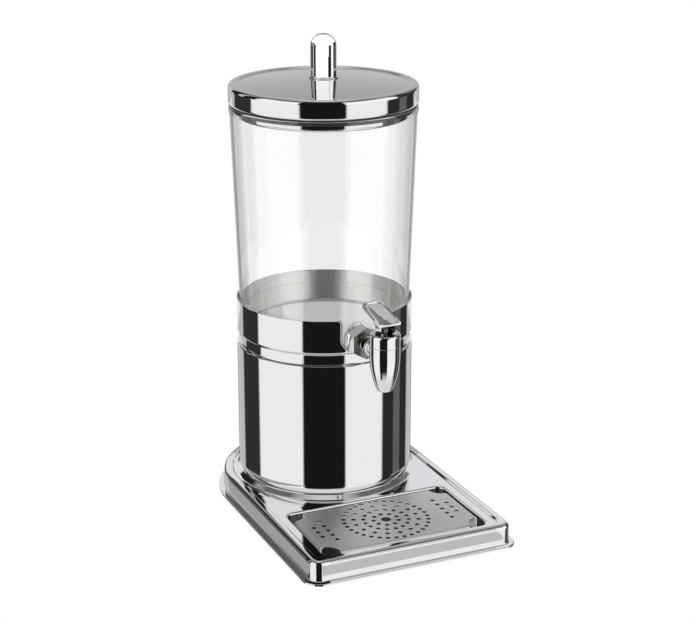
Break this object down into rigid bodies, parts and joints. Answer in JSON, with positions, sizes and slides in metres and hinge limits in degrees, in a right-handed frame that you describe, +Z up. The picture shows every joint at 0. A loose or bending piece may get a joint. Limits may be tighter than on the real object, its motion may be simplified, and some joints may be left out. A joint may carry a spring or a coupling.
{
  "type": "juice_dispenser",
  "caption": "Countertop juice dispenser: clear tapered container with domed steel lid and knob, chrome lever tap, polished steel pedestal, drip well and grid.",
  "frame": {"origin": "centre of the bounding box on the table, between the feet", "axes": "+Z up, front with the tap and the drip grid towards -Y, +X to the right seen from the front"},
  "size_m": [0.235, 0.35, 0.5014],
  "materials": {
    "polished_steel": "mirror polished",
    "brushed_grid_steel": "brushed",
    "fastener_steel": "plain",
    "tap_chrome": "chrome plated",
    "clear_plastic": "clear",
    "black_rubber": "matt",
    "grey_rubber": "matt",
    "white_rubber": "matt",
    "white_plastic": "satin"
  },
  "bodies": {
    "base": {"base_plate": "polished_steel", "pedestal_shell": "polished_steel", "container_deck": "polished_steel", "pedestal_screws": "fastener_steel", "pedestal_nuts": "fastener_steel", "foot_studs": "fastener_steel", "foot_front_left": "black_rubber", "foot_front_right": "black_rubber", "foot_rear_left": "black_rubber", "foot_rear_right": "black_rubber"},
    "grid": {"drip_grid": "brushed_grid_steel"},
    "container": {"container": "clear_plastic", "tap_gasket": "white_rubber", "tap_hex_nut": "tap_chrome", "tap_body": "tap_chrome", "tap_inner_gasket": "grey_rubber", "tap_lock_nut": "white_plastic", "tap_bonnet": "tap_chrome", "stem_seal": "black_rubber"},
    "stem": {"stem": "fastener_steel", "seat_cup": "white_rubber", "lever_pin": "fastener_steel", "stem_spring": "fastener_steel"},
    "lever": {"lever": "tap_chrome"},
    "lid": {"lid_shell": "polished_steel", "lid_plug": "polished_steel", "lid_gasket": "black_rubber", "knob": "polished_steel", "knob_washer": "polished_steel", "knob_screw": "fastener_steel"}
  },
  "joints": [
    {"name": "container_lift", "type": "slide", "parent": "base", "child": "container", "axis": [0, 0, 1], "range_m": [0, 0.06]},
    {"name": "grid_lift", "type": "slide", "parent": "base", "child": "grid", "axis": [0, 0, 1], "range_m": [0, 0.05]},
    {"name": "lid_lift", "type": "slide", "parent": "container", "child": "lid", "axis": [0, 0, 1], "range_m": [0, 0.05]},
    {"name": "stem_lift", "type": "slide", "parent": "container", "child": "stem", "axis": [0, 0, 1], "range_m": [0, 0.0022], "stiffness_N_per_m": 150, "springref_m": -0.003, "deforming": ["stem_spring"]},
    {"name": "lever_press", "type": "hinge", "parent": "stem", "child": "lever", "pos_m": [0, -0.095, 0.2296], "axis": [-1, 0, 0], "range_deg": [0, 30]}
  ],
  "couplings": [
    {"joint": "lever_press", "follows": "stem_lift", "rad_per_m": 237.99}
  ]
}
